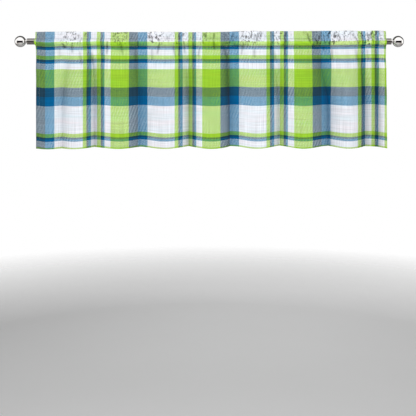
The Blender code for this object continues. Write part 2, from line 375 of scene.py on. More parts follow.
valance = {
    "columns": 360,          # where the cloth is calm
    "fineness": 2,           # times as many across heading, pocket and the creases below
    "leftEdge": -0.675,
    "rightEdge": 0.690,
    "thickness": 0.0005,
    "seamStep": 0.0010,      # between two layers where they are sewn
    "headingPuff": 0.0050,   # between the heading's layers where they stand free
    "headingTop": 0.0405,
    "headingSeam": 0.016,
    "pocketSeam": -0.020,
    "tailEnd": -0.029,
    "hemBottom": clothLow.z - 0.0022,
    "hemHeight": 0.032,
    "sideHem": 0.013,
    "foldsStart": -0.024,
    "foldsFull": -0.118,
    "settling": 1.6,
    "riseStart": -0.015,
    "riseSpan": 0.358,
    "riseGrowth": 1.4,
    "creaseDepth": 2.6,
    "creaseWidth": 1.05,
    "creaseEnds": 0.3,
    "troughBlunt": 0.0004,
    "edgeReach": 0.040,      # how far from a side edge the cloth is drawn outwards
    "topRound": 0.0012,      # between the last level rows and the top edge
    "hemRound": 0.001,
    "rimRise": 0.0008,       # of the two rows that turn over the top and under the hem
    "creasedDown": -0.072,   # the last row with the finer columns
    "upperRows": (-0.082, -0.130),
    "lowerRows": -0.147,
    "ruffleOver": 0.012,
    "drift": 0.0009,
    "driftScales": (17, 7),
    "driftOver": 0.05,
    "leastRadius": 0.0127,
}

# The troughs between the folds in millimetres: place at the top and lower down, depth behind the
# crests, how far each reaches to its left and its right, and the painted shade at its bottom
Trough = namedtuple("Trough", "xTop xLow depth left right dark")
troughs = (
    Trough(-688, -688, 8, 10, 34, 0.18),
    Trough(-556, -576, 26, 21, 20, 0.16),
    Trough(-464, -452, 48, 20, 19, 0.25),
    Trough(-285, -272, 34, 23, 36, 0.17),
    Trough(-88, -80, 48, 22, 19, 0.28),
    Trough(70, 82, 46, 11, 33, 0.10),
    Trough(258, 276, 42, 23, 24, 0.22),
    Trough(438, 470, 50, 30, 33, 0.26),
    Trough(602, 611, 44, 20, 23, 0.33),
    Trough(652, 660, 26, 19, 10, 0.36),
)
# Y of the crests, left to right
crestPlanes = (-0.0215, -0.0225, -0.0245, -0.0255, -0.0245, -0.0255, -0.0245, -0.0255, -0.0225)

# Where the cloth hangs higher, in its troughs, in millimetres: the bow of the stripes already at the
# pocket, the rise low down, and how far it reaches to either side
Wave = namedtuple("Wave", "x top low reach")
waves = (
    Wave(-682, 3.7, 6.5, 31), Wave(-577, 2.7, 4.4, 35), Wave(-436, 3.2, 9.2, 62),
    Wave(-262, 1.9, 9.3, 62), Wave(-81, 1.5, 9.8, 62), Wave(100, 1.3, 10.5, 62),
    Wave(277, 0.4, 10.9, 62), Wave(456, 0.2, 10.1, 62), Wave(632, 2.1, 11.1, 62),
)

# How far the side edges stand out, as (height, left, right) in millimetres
edgeShifts = (
    (-420, -0.5, 2.8), (-260, 0.0, 0.9), (-215, 0.0, 1.3), (-150, -0.7, -0.5), (-70, 0.8, -0.6),
    (-30, 3.6, 2.6), (-15, 5.0, 3.0), (-10, 7.1, 2.0), (9, 7.1, 2.0), (14, 5.2, 2.5), (36, 5.2, 2.5),
    (44, 5.2, 0.5),
)

# The line of the top edge, never quite level, as (x, z) in millimetres
topLine = (
    (-680, 39.1), (-575, 40.3), (-450, 39.5), (-372, 37.4), (-310, 38.9), (-262, 38.4), (-169, 39.6),
    (-75, 38.0), (-12, 37.8), (50, 38.9), (81, 39.8), (112, 42.0), (175, 43.6), (222, 40.8),
    (269, 43.1), (331, 42.0), (410, 43.0), (519, 43.4), (550, 44.9), (595, 42.4), (644, 44.4),
    (690, 43.2),
)

# The gathers of heading and pocket: long ones as in the solids, then finer ones
Gather = namedtuple("Gather", "length depth shift")
longGathers = (
    Gather(0.097, 0.0020, 0.40),
    Gather(0.143, 0.0016, 2.10),
    Gather(0.231, 0.0012, 4.40),
)
fineGathers = (
    Gather(0.0610, 0.0007, 1.2),
    Gather(0.0437, 0.0006, 3.9),
    Gather(0.0313, 0.0004, 0.7),
    Gather(0.0229, 0.0003, 5.1),
)

# Creases listed as (x and z of the upper end, x and z of the lower end, depth, width) in millimetres
Crease = namedtuple("Crease", "xTop zTop xLow zLow depth width")
headingCreases = [Crease(*row) for row in (
    (-559, 31, -558, 14, 0.9, 3.0), (-524, 20, -523, 3, 1.0, 3.0), (-512, 32, -511, 13, 1.2, 2.8),
    (-481, 39, -490, 16, 2.1, 3.0), (-496, 19, -505, -5, 1.4, 3.0), (-365, 38, -374, 14, 1.9, 3.2),
    (-321, 29, -326, 9, 1.3, 3.0), (-240, 39, -223, 15, 2.3, 3.2), (-221, 19, -227, -5, 1.4, 3.0),
    (-169, 34, -164, 2, 1.3, 2.8), (-150, 34, -160, 5, 1.2, 2.8), (-120, 38, -114, -2, 2.2, 3.0),
    (-99, 38, -107, 17, 2.5, 3.8), (-77, 37, -81, 13, 1.3, 3.0), (-21, 39, -12, 13, 2.6, 3.8),
    (19, 39, 17, 5, 2.3, 3.0), (98, 39, 79, -14, 1.6, 3.4), (131, 38, 132, 15, 1.5, 3.0),
    (179, 34, 174, 0, 1.8, 3.0), (194, 39, 184, -10, 2.3, 3.2), (206, 39, 201, 13, 2.5, 3.5),
    (305, 39, 297, 17, 2.5, 3.8), (297, 24, 294, -22, 1.5, 3.0), (320, 33, 321, 17, 1.0, 2.8),
    (383, 39, 396, -14, 2.5, 3.2), (418, 13, 424, -18, 2.0, 3.0), (437, 33, 442, -2, 1.4, 3.0),
    (494, 39, 488, 17, 2.7, 3.8), (511, 33, 512, 5, 1.2, 2.8), (531, 37, 526, 13, 1.3, 2.8),
    (561, 33, 569, 9, 1.2, 2.8), (570, 25, 583, -14, 2.2, 3.0), (617, 39, 625, 9, 2.5, 3.0),
    (635, 39, 629, 11, 2.3, 3.0), (644, 29, 645, 9, 1.1, 2.8), (667, 38, 670, 16, 1.4, 3.0),
)]
pocketCreases = [Crease(*row) for row in (
    (-574, -6, -565, -30, 2.6, 6.0), (-538, -6, -537, -50, 1.9, 3.4), (-509, -30, -498, -98, 1.5, 4.0),
    (-474, -30, -461, -84, 1.2, 8.0), (-397, 6, -402, -58, 2.6, 3.0), (-351, 15, -336, -62, 1.9, 3.4),
    (-290, -24, -286, -84, 1.3, 5.0), (-278, 6, -279, -24, 2.0, 3.0), (-225, -20, -222, -80, 1.7, 4.0),
    (-118, -20, -119, -64, 2.0, 2.6), (-195, -2, -204, -56, 2.3, 3.2), (-142, -10, -131, -66, 2.2, 3.0),
    (-100, 10, -96, -56, 1.9, 2.8), (-83, -2, -82, -28, 1.5, 3.0), (-37, -22, -43, -63, 2.1, 3.4),
    (17, 9, 20, -36, 2.5, 3.0), (59, -25, 74, -76, 1.9, 4.2), (135, 6, 125, -60, 2.3, 3.4),
    (151, -6, 151, -27, 1.5, 3.0), (177, -26, 178, -68, 2.0, 3.6), (241, -10, 243, -60, 1.6, 3.0),
    (250, -26, 258, -78, 1.7, 5.0), (448, -14, 449, -44, 1.5, 3.4), (296, -18, 299, -66, 2.2, 3.0),
    (650, -22, 656, -76, 1.6, 4.4), (470, 3, 479, -32, 1.7, 3.0), (487, 9, 487, -14, 1.5, 3.0),
    (480, -22, 478, -84, 2.3, 5.0), (572, -20, 588, -88, 1.3, 7.0), (-592, -18, -582, -66, 0.9, 9.0),
    (618, -24, 622, -80, 1.4, 5.0),
)]

# How gathers and folds shift the warp stripes along the width, as (x, at the pocket, lower down)
# in millimetres
stripeShifts = (
    (-676, 0.0, 0.0), (-641, 0.2, 2.0), (-604, -0.2, 0.8), (-492, 2.6, 4.0), (-477, 3.6, 2.9),
    (-462, 4.4, 3.2), (-438, 3.2, 3.7), (-424, 4.0, 6.1), (-386, 4.8, 6.1), (-313, 3.4, 3.7),
    (-278, 3.1, 3.0), (-243, 3.5, 4.5), (-132, 2.3, 2.9), (-118, 3.0, 3.0), (-102, 2.5, 4.5),
    (-79, 2.9, 2.9), (-65, 3.9, 4.4), (-50, 3.4, 4.0), (-26, 3.7, 3.5), (46, 2.0, 1.6), (81, 2.5, 3.1),
    (116, 2.9, 2.9), (227, 2.4, 1.2), (241, 2.5, 1.7), (257, 2.7, 3.4), (279, 2.3, 2.4),
    (308, 4.3, 2.7), (331, 2.9, 2.7), (404, 1.3, 1.6), (439, 1.0, 3.0), (472, 2.1, 5.5),
    (582, 0.8, -0.7), (597, 1.0, 1.7), (612, 1.4, 3.5), (634, 0.4, 1.3), (663, 0.0, -0.1),
    (684, -3.0, -4.0),
)

# How far the weft stripes lie below their even places, as (z, sag) in millimetres
stripeSags = (
    (-388, 3.8), (-380, 3.2), (-373, 3.1), (-358, 1.7), (-250, 2.2), (-215, 2.8), (-180, 0.8),
    (-107, 2.0), (-83, 2.7), (-75, 2.7), (-68, 1.7), (-53, 0.9), (-29, 2.0), (-21, 4.2), (-14, 2.1),
    (1, 0.7),
)

# Where the heading is ruffled most: middle and half width in millimetres
Ruffle = namedtuple("Ruffle", "x half strength")
ruffles = (
    Ruffle(-540, 36, 0.9), Ruffle(-348, 34, 0.8), Ruffle(-210, 40, 1.0), Ruffle(-122, 20, 0.7),
    Ruffle(-80, 14, 0.5), Ruffle(-18, 26, 0.6), Ruffle(72, 22, 0.5), Ruffle(160, 52, 1.0),
    Ruffle(275, 30, 0.8), Ruffle(445, 42, 1.0), Ruffle(508, 50, 1.2), Ruffle(608, 24, 0.9),
    Ruffle(650, 28, 1.0),
)


# Painted shade in troughs, creases and under the pocket seam, and painted light where the cloth
# is drawn over the rod and on the ruffled heading
shades = {
    "upperShare": 0.5,        # of the troughs' darkness, above the heights that follow
    "deepensFrom": -0.110,
    "deepensOver": 0.150,
    "leftReach": 0.85,
    "rightReach": 1.05,
    "troughRound": 0.003,
    # Painted shade along each trough's bottom, for each millimetre of its depth
    "paintedCuspShade": 0.004,
    "cuspWidth": 0.0022,
    "creaseBelow": 0.18,
    "creaseAbove": 0.24,
    "creaseTurn": -0.035,
    "creaseTurnOver": 0.020,
    "creaseEnds": 0.25,
    # Painted shade under the pocket's bulge
    "paintedSeamShade": 0.25,
    "seamWidth": 0.0028,
    "seamDrop": 0.001,
    "drawnEnds": 0.004,
    "drawnOver": 0.008,
    # Painted light over the rod and on the ruffled heading
    "paintedRodLight": 0.22,
    "paintedRuffleLight": 0.10,
    "lightest": -0.3,
    "darkest": 0.75,
}


# How strongly the cloth is ruffled here, 0 to 1: in heading and pocket only
def ruffledAt(x, z):
    high = float(smoothStep((z - valance["pocketSeam"]) / valance["ruffleOver"]))
    spread = sum(spot.strength * np.exp(-((x * 1000 - spot.x) / spot.half) ** 2) for spot in ruffles)
    return high * np.clip(spread, 0, 1)


# How far each place lies from a trough's middle at this height
def awayFrom(trough, x, z):
    drop = (valance["pocketSeam"] - z) / (valance["pocketSeam"] - valance["hemBottom"])
    settled = smoothStep(valance["settling"] * np.clip(drop, 0, 1))
    return x - mix(trough.xTop, trough.xLow, settled) / 1000


# How fully the folds are formed at this height
def foldShare(z):
    return smoothStep((valance["foldsStart"] - z) / (valance["foldsStart"] - valance["foldsFull"]))


# How far up the heading this height lies
def headingShare(z):
    return (z - valance["headingSeam"]) / (valance["headingTop"] - valance["headingSeam"])


# Y of the full fold: broad crests to the front, pinched troughs behind
def foldAt(x, z):
    y = np.interp(x, np.linspace(valance["leftEdge"], valance["rightEdge"], len(crestPlanes)), crestPlanes)
    for trough in troughs:
        away, blunt = awayFrom(trough, x, z), valance["troughBlunt"]
        reach = np.where(away < 0, trough.left, trough.right) / 1000
        y += trough.depth / 1000 * np.exp(-(np.sqrt(away ** 2 + blunt ** 2) - blunt) / reach)
    return y


# Bell round the middle of a wave, 1 at most
def bell(x, wave):
    return np.exp(-((x * 1000 - wave.x) / wave.reach) ** 2)


# How much higher the cloth hangs in its troughs at this height
def riseAt(x, z):
    share = np.clip((valance["riseStart"] - z) / valance["riseSpan"], 0, 2) ** valance["riseGrowth"]
    return sum((wave.low - wave.top) * share * bell(x, wave) for wave in waves) / 1000


# How strongly a crease shows at this height, and how many widths each place lies from its middle
def creaseReach(crease, x, z, ends):
    down = (crease.zTop / 1000 - z) / ((crease.zTop - crease.zLow) / 1000)
    fade = float(smoothStep(down / ends) * smoothStep((1 - down) / ends))
    middle = mix(crease.xTop, crease.xLow, down) / 1000
    return fade, (x - middle) / (crease.width * valance["creaseWidth"] / 1000)


# Painted shade in troughs and creases, and below 0 where light is painted over the rod and heading
def paintedShadingAt(x, z):
    lower = smoothStep((shades["deepensFrom"] - z) / shades["deepensOver"])
    share = foldShare(z) * mix(shades["upperShare"], 1.0, lower)
    turned = smoothStep((z - shades["creaseTurn"]) / shades["creaseTurnOver"])
    creaseShade = mix(shades["creaseBelow"], shades["creaseAbove"], turned)
    dark = np.zeros_like(x)
    # Painted shade down in each trough, and a narrow line of painted shade along its bottom
    for trough in troughs:
        away = awayFrom(trough, x, z)
        left, right = trough.left * shades["leftReach"], trough.right * shades["rightReach"]
        reach = np.where(away < 0, left, right) / 1000
        dark += trough.dark * share * np.exp(-np.sqrt(away ** 2 + shades["troughRound"] ** 2) / reach)
        dark += shades["paintedCuspShade"] * trough.depth * share * np.exp(-(away / shades["cuspWidth"]) ** 2)
    # Painted shade along each crease
    for crease in headingCreases + pocketCreases:
        fade, offset = creaseReach(crease, x, z, shades["creaseEnds"])
        dark += creaseShade * crease.depth * fade * np.exp(-offset ** 2)
    # Painted shade in a line just under the pocket's bulge, below its seam
    under = valance["pocketSeam"] - shades["seamDrop"]
    dark += shades["paintedSeamShade"] * math.exp(-((z - under) / shades["seamWidth"]) ** 2)
    # Painted light on the pocket's front over the rod and on the ruffled heading
    aboveSeam = (z - valance["pocketSeam"] - shades["seamDrop"]) / shades["drawnEnds"]
    drawn = smoothStep((shades["drawnEnds"] - z) / shades["drawnOver"]) * smoothStep(aboveSeam)
    dark -= shades["paintedRodLight"] * drawn + shades["paintedRuffleLight"] * ruffledAt(x, z)
    return np.clip(dark, shades["lightest"], shades["darkest"])


def gatherAt(x, gathers):
    return sum(wave.depth * np.sin(2 * np.pi * x / wave.length + wave.shift) for wave in gathers)


# How far the creases push the cloth in, with a low ridge beside each
def creaseAt(x, z, creases):
    pushed = np.zeros_like(x)
    for number, crease in enumerate(creases):
        fade, offset = creaseReach(crease, x, z, valance["creaseEnds"])
        side = -1 if number % 3 else 1
        shape = np.exp(-offset ** 2) - 0.5 * np.exp(-(offset - 1.9 * side) ** 2 / 1.4)
        pushed += crease.depth * valance["creaseDepth"] / 1000 * fade * shape
    return pushed


# How far the cloth near a side edge is drawn outwards at this height
def edgePull(x, z):
    table = np.array(edgeShifts) / 1000
    left = smoothStep(1 - (x - valance["leftEdge"]) / valance["edgeReach"])
    right = smoothStep(1 - (valance["rightEdge"] - x) / valance["edgeReach"])
    return right * np.interp(z, table[:, 0], table[:, 2]) - left * np.interp(z, table[:, 0], table[:, 1])


# How far the top edge lies above or below its mean height
def topRise(x):
    table = np.array(topLine) / 1000
    around = [np.interp(x + step, table[:, 0], table[:, 1]) for step in np.linspace(-0.012, 0.012, 7)]
    return np.mean(around, axis=0) - valance["headingTop"] - valance["topRound"]


# What both layers of heading and pocket follow alike
def commonRipple(x, z):
    coarse, fine = gatherAt(x, longGathers), gatherAt(x, fineGathers)
    if z >= valance["headingSeam"]:
        up = headingShare(z)
        return coarse * mix(0.35, 1.5, smoothStep(up)) + fine * mix(0.8, 1.5, up)
    return coarse * 0.45 + fine * mix(0.8, 0.0, smoothStep((valance["pocketSeam"] - z) / 0.05))


# Half the distance between the two layers, least at the seams
def layerGap(z):
    seam = valance["seamStep"] / 2
    if z <= valance["headingSeam"]:
        return seam
    puff = (valance["headingPuff"] - valance["seamStep"]) / 2
    return seam + puff * math.sin(math.pi * min(headingShare(z), 1) ** 0.8) ** 0.7


# The front layer, above the heading seam or below the pocket seam
def frontRow(x, z):
    ripple = commonRipple(x, z)
    if z >= valance["headingSeam"]:
        y = ripple + creaseAt(x, z, headingCreases)
        rise = headingShare(z) * topRise(x)
    else:
        y = mix(ripple, foldAt(x, z), foldShare(z)) + creaseAt(x, z, pocketCreases)
        rise = riseAt(x, z)
    return np.array([x + edgePull(x, z), y - layerGap(z), z + rise])


# The turned layer behind it, square to the folds
def backRow(x, z):
    row = frontRow(x, z)
    steps = np.diff(row[:2], axis=1)
    steps /= np.hypot(*steps)
    before = np.concatenate([steps[:, :1], steps], axis=1)
    after = np.concatenate([steps, steps[:, -1:]], axis=1)
    middle = (before + after) / 2
    middle /= np.maximum(0.35, np.hypot(*middle)) ** 2  # mitred where the cloth turns
    row[0] -= 2 * layerGap(z) * middle[1]
    row[1] += 2 * layerGap(z) * middle[0]
    return row


# Round the rod: degrees from straight up and the radius before and behind it
PocketRow = namedtuple("PocketRow", "angle front back")
pocketShape = (
    PocketRow(37, 0.0129, 0.0129),
    PocketRow(62, 0.0139, 0.0134),
    PocketRow(88, 0.0150, 0.0139),
    PocketRow(112, 0.0150, 0.0139),
    PocketRow(134, 0.0142, 0.0136),
)


# The pocket's plain outline as (y, z) points, even steps from the heading seam to the pocket seam
def pocketProfile(side, steps):
    angles = np.arange(37, 135, 4.0)
    table = np.array([(row.angle, row.front if side < 0 else row.back) for row in pocketShape])
    radii = np.interp(angles, table[:, 0], table[:, 1])
    y = side * radii * np.sin(np.radians(angles))
    z = radii * np.cos(np.radians(angles))
    gap = side * valance["seamStep"] / 2
    y = np.concatenate([[gap], y, [gap]])
    z = np.concatenate([[valance["headingSeam"]], z, [valance["pocketSeam"]]])
    length = np.concatenate([[0], np.cumsum(np.hypot(np.diff(y), np.diff(z)))])
    even = np.linspace(0, length[-1], steps + 1)
    return np.interp(even, length, y), np.interp(even, length, z), even / length[-1]


# One row of the pocket, pushed out by its gathers and in by its creases, but never into the rod
def pocketRow(x, y, z, share, side):
    atSeam = 1 - math.sin(math.pi * share) ** 0.6
    seamZ = valance["headingSeam"] if share < 0.5 else valance["pocketSeam"]
    ripple = commonRipple(x, seamZ) * atSeam
    loose = math.sin(math.pi * share) ** 0.8
    outward = 0.0016 + gatherAt(x * 1.07 + 0.3 * side, fineGathers) + 0.3 * gatherAt(x, longGathers)
    radius = math.hypot(y, z)
    straight = abs(y) < 0.6 * radius  # above and below the rod, where the layers run together
    if straight or side < 0:
        creases = creaseAt(x, z, headingCreases + pocketCreases)
    else:
        creases = creaseAt(x + 0.02, z, pocketCreases)
    scale = 1.0 if straight else (radius + outward * loose - creases) / radius
    across = y * scale + ripple + (creases if straight else 0)
    upDown = np.full_like(x, z) * scale
    clear = np.maximum(1.0, valance["leastRadius"] / np.hypot(across, upDown))
    return np.array([x + edgePull(x, z), across * clear, upDown * clear])


# Every row of the sheet from the back tail over the rod to the hem, and its height in the print
def sheetRows():
    top, seam, pocket = valance["headingTop"], valance["headingSeam"], valance["pocketSeam"]
    hem, turned = valance["hemBottom"], valance["hemBottom"] + valance["hemHeight"]
    rows = []
    calm, fine = sheetColumns(0)
    for z in np.linspace(valance["tailEnd"], pocket, 3):
        rows.append((backRow(fine, z), 2 * top - z))
    for y, z, share in list(zip(*pocketProfile(1, 10)))[-2:0:-1]:
        rows.append((pocketRow(calm, y, z, share, 1), 2 * top - z))
    last = top - valance["topRound"]
    levels = np.linspace(seam, last, 7)
    for z in levels:
        rows.append((backRow(fine, z), 2 * top - z))
    for share in (0.78, 0.22):
        row = mix(frontRow(fine, last), backRow(fine, last), share)
        row[2] += valance["rimRise"]
        rows.append((row, top + (share - 0.5) * 0.001))
    for z in np.linspace(last, seam, 11):
        rows.append((frontRow(fine, z), z))
    for y, z, share in list(zip(*pocketProfile(-1, 15)))[1:-1]:
        row = pocketRow(fine, y, z, share, -1)
        rows.append((row, float(row[2].mean())))
    for z in np.linspace(pocket, valance["creasedDown"], 12):
        rows.append((frontRow(sheetColumns(z)[1], z), z))
    lowest = hem + valance["hemRound"]
    upper, lower = np.linspace(*valance["upperRows"], 5), np.linspace(valance["lowerRows"], turned, 14)
    for z in (*upper, *lower, (hem + turned) / 2, lowest):
        calm = sheetColumns(z)[0]
        rows.append((frontRow(calm, z), z))
    for share in (0.25, 0.75):
        row = mix(frontRow(calm, lowest), backRow(calm, lowest), share)
        row[2] -= valance["rimRise"]
        rows.append((row, hem - share * 0.001))
    for z in np.linspace(lowest, turned, 4):
        rows.append((backRow(calm, z), 2 * hem - z))
    return rows


def printAcross(x, height):
    table = np.array(stripeShifts) / 1000
    top, low = (np.interp(x, table[:, 0], table[:, column]) for column in (1, 2))
    return x - mix(low, top, smoothStep((height - plaid["shiftTurn"]) / plaid["shiftTurnOver"]))


# The print hangs a little lower on the left, bows with the waves and is drawn down by the gathers
def printUp(x, height):
    table = np.array(stripeSags) / 1000
    level = np.clip((height - plaid["tiltFrom"]) / plaid["tiltOver"], 0, 1)
    tilt = plaid["tilt"] * x / valance["rightEdge"] * mix(plaid["tiltAtHem"], 1.0, level)
    bow = sum(wave.top * bell(x, wave) for wave in waves) / 1000
    return height + np.interp(height, table[:, 0], table[:, 1]) - tilt - bow


# A sheet through rows of points, with the print's place as its UV map
def sheetMesh(name, rows, flat):
    starts = np.concatenate([[0], np.cumsum([row.shape[1] for row in rows])])
    faces = []
    for number, (upper, lower) in enumerate(zip(rows, rows[1:])):
        above, below = upper.shape[1], lower.shape[1]
        steps = min(above, below) - 1
        overStep, underStep = (above - 1) // steps, (below - 1) // steps  # finer rows add corners to a face
        for step in range(steps):
            first, second = starts[number] + step * overStep, starts[number + 1] + step * underStep
            over, under = range(first, first + overStep + 1), range(second, second + underStep + 1)
            faces.append([over[0], *under, *reversed(over[1:])])
    mesh = bpy.data.meshes.new(name)
    mesh.from_pydata(np.concatenate([row.T for row in rows]).tolist(), [], faces)
    flat = np.concatenate([row.T for row in flat])
    layer = mesh.uv_layers.new(name="print")
    loops = np.empty(len(mesh.loops), np.int32)
    mesh.loops.foreach_get("vertex_index", loops)
    layer.data.foreach_set("uv", flat[loops].astype(np.float32).ravel())
    mesh.shade_smooth()
    return mesh


# The piece with its thickness, its reverse in the second material
def solidified(piece, thickness):
    wall = piece.modifiers.new("thickness", "SOLIDIFY")
    wall.thickness = thickness
    wall.offset = -1
    wall.material_offset = 1
    return applied(piece)


# X of the sheet's columns at this height, closer together in the troughs, and the finer ones between them
def sheetColumns(z):
    dense = np.linspace(valance["leftEdge"], valance["rightEdge"], 4000)
    weight = np.ones_like(dense)
    for trough in troughs:
        away = awayFrom(trough, dense, z)
        weight += 0.7 * np.exp(-(away / 0.025) ** 2) + 3.5 * np.exp(-(away / 0.0022) ** 2)
    reached = np.concatenate([[0], np.cumsum((weight[1:] + weight[:-1]) / 2)])
    calm = np.interp(np.linspace(0, reached[-1], valance["columns"]), reached, dense)
    fineCount = (valance["columns"] - 1) * valance["fineness"] + 1
    return calm, np.interp(np.arange(fineCount) / valance["fineness"], np.arange(len(calm)), calm)


def makeValance():
    rows, flat, paintedShading, ruffled = [], [], [], []
    scaleX, scaleZ = valance["driftScales"]
    for row, height in sheetRows():
        # Cloth is never quite smooth: a slow, slight unevenness all over the panel
        below = float(smoothStep((valance["pocketSeam"] - row[2].mean()) / valance["driftOver"]))
        if below > 0:
            drift = [noise.noise(Vector((px * scaleX, 3.1, pz * scaleZ))) for px, pz in zip(row[0], row[2])]
            row[1] += np.array(drift) * valance["drift"] * below
        rows.append(row)
        flat.append(np.array([printAcross(row[0], height), printUp(row[0], height)]))
        front = valance["hemBottom"] < height < valance["headingTop"]
        # Painted shade and painted light, on the front layer only
        paintedShading.append(paintedShadingAt(row[0], height) if front else 0 * row[0])
        ruffled.append(ruffledAt(row[0], height) if front else 0 * row[0])
    sheet = addPiece("plaidValance", sheetMesh("plaidValance", rows, flat), (clothFront, clothBack))
    for name, values in (("paintedShading", paintedShading), ("ruffled", ruffled)):
        layer = sheet.data.attributes.new(name, "FLOAT", "POINT")
        layer.data.foreach_set("value", np.concatenate(values).astype(np.float32))
    return solidified(sheet, valance["thickness"])


plaidValance = makeValance()
print("valance made,", len(plaidValance.data.polygons), "faces")


# Rod and finials

rod = {
    "length": rodHigh.x - rodLow.x,
    "radius": rodHigh.z,
    "wall": 0.0015,
    "sides": 96,
    "edge": 0.0003,
}


# A Geometry Nodes tree with these named inputs, and the identifier of each
def treeWith(name, sockets):
    tree = bpy.data.node_groups.new(name, "GeometryNodeTree")
    for way in ("OUTPUT", "INPUT"):
        tree.interface.new_socket("Geometry", in_out=way, socket_type="NodeSocketGeometry")
    identifiers = {}
    for label, kind in sockets:
        identifiers[label] = tree.interface.new_socket(label, in_out="INPUT", socket_type=kind).identifier
    return tree, tree.nodes.new("NodeGroupInput").outputs, identifiers


# The tree's result: this geometry, made real and in this material
def finishTree(tree, geometry, material):
    whole = wired(tree, "GeometryNodeRealizeInstances", {0: geometry}).outputs[0]
    painted = wired(tree, "GeometryNodeSetMaterial", {"Geometry": whole, "Material": material}).outputs[0]
    wired(tree, "NodeGroupOutput", {0: painted})


# Runs the tree on the piece, with the dictionary's values as its inputs
def realised(piece, tree, identifiers, values):
    modifier = piece.modifiers.new("nodes", "NODES")
    modifier.node_group = tree
    for label, identifier in identifiers.items():
        modifier[identifier] = values[label.lower()]
    return applied(piece)


# A tube: its wall's section, a long rounded rectangle, swept round a circle
def rodTree(material):
    sockets = [(label, "NodeSocketFloat") for label in ("Length", "Radius", "Wall", "Edge")]
    tree, given, identifiers = treeWith("tubeOfRod", sockets)
    middle = calculate(tree, "MULTIPLY_ADD", given["Wall"], -0.5, given["Radius"])
    circle = {"Resolution": rod["sides"], "Radius": middle}
    ring = wired(tree, "GeometryNodeCurvePrimitiveCircle", circle).outputs["Curve"]
    sides = {"Width": given["Wall"], "Height": given["Length"]}
    section = wired(tree, "GeometryNodeCurvePrimitiveQuadrilateral", sides).outputs[0]
    corners = {"Curve": section, "Count": 2, "Radius": given["Edge"]}
    rounded = wired(tree, "GeometryNodeFilletCurve", corners, mode="POLY").outputs[0]
    swept = wired(tree, "GeometryNodeCurveToMesh", {"Curve": ring, "Profile Curve": rounded}).outputs[0]
    turn = {"Geometry": swept, "Rotation": (0, math.pi / 2, 0)}
    finishTree(tree, wired(tree, "GeometryNodeTransform", turn).outputs[0], material)
    return tree, identifiers


def makeRod():
    piece = addPiece("curtainRod", bpy.data.meshes.new("curtainRod"))
    piece = realised(piece, *rodTree(rodNickelInPaintedShade), rod)
    outward(piece.data)
    return piece


# Doubles merged, faces turned outwards, round faces smooth and real edges sharp
def outward(mesh):
    shell = bmesh.new()
    shell.from_mesh(mesh)
    bmesh.ops.remove_doubles(shell, verts=shell.verts, dist=1e-6)
    bmesh.ops.recalc_face_normals(shell, faces=shell.faces)
    shell.to_mesh(mesh)
    shell.free()
    mesh.shade_smooth()
    mesh.set_sharp_from_angle(angle=math.radians(32))


finial = {
    "ballRadius": 0.0222,
    "ballFromMiddle": 0.7395,
    "neckRadius": 0.0064,
    "neckSpread": 0.0007,    # how much wider the neck is where it meets the ball
    "collar": 0.0016,        # how much wider it is at the shoulder
    "rim": 0.0006,
    "plugBevel": 0.0008,
    "shoulderGap": 0.0003,
    "shoulderThick": 0.0016,
    "plugLength": 0.018,
    "rings": 30,
    "sides": 64,
}


# (radius, distance from the middle of the rod): ball, waisted neck, rounded shoulder and plug
def finialProfile():
    ball, middle, neck = finial["ballRadius"], finial["ballFromMiddle"], finial["neckRadius"]
    rings, spread, rim, bevel = (finial[key] for key in ("rings", "neckSpread", "rim", "plugBevel"))
    inner = rod["length"] / 2 + finial["shoulderGap"]
    outer = inner + finial["shoulderThick"]
    plug, plugEnd = rod["radius"] - rod["wall"] - finial["shoulderGap"], inner - finial["plugLength"]
    end = math.pi - math.asin((neck + spread) / ball)
    turns = [end * step / rings for step in range(rings + 1)]
    points = [(ball * math.sin(turn), middle + ball * math.cos(turn)) for turn in turns]
    points[0] = (0.0, middle + ball)
    start = points[-1][1]
    for share in (step / 8 for step in range(1, 8)):  # the waist of the neck
        wider = spread * (1 - math.sin(math.pi * share)) + finial["collar"] / 2 * share ** 6
        points.append((neck + wider, mix(start, outer, share)))
    points.append((neck + finial["collar"], outer))
    for turn in (math.pi / 2 * step / 4 for step in range(5)):  # the shoulder's rounded rim
        points.append((rod["radius"] - rim * (1 - math.sin(turn)), outer - rim * (1 - math.cos(turn))))
    points += [(rod["radius"], inner), (plug, inner), (plug, plugEnd + bevel), (plug - bevel, plugEnd)]
    return points + [(0.0, plugEnd)]


def makeFinial(name, side):
    shell = bmesh.new()
    verts = [shell.verts.new((side * along, 0, radius)) for radius, along in finialProfile()]
    edges = [shell.edges.new(pair) for pair in zip(verts, verts[1:])]
    bmesh.ops.spin(shell, geom=verts + edges, cent=(0, 0, 0), axis=(1, 0, 0), angle=2 * math.pi,
                   steps=finial["sides"], use_merge=True)
    mesh = bpy.data.meshes.new(name)
    shell.to_mesh(mesh)
    shell.free()
    outward(mesh)
    return addPiece(name, mesh, (finialNickel,))


curtainRod = makeRod()
finialLeft = makeFinial("ballFinialLeft", -1)
finialRight = makeFinial("ballFinialRight", 1)
print("rod and finials made")


# Sewing: rows of single stitches along the seams and hems

stitch = {
    "spacing": 0.0034,
    "length": 0.0026,
    "thickness": 0.0004,
    "unevenness": 0.12,
    "seed": 7,
    "lift": 0.00012,
    "fromEdge": 0.003,
    "hemInset": 0.0025,      # below the hem's turned edge
}


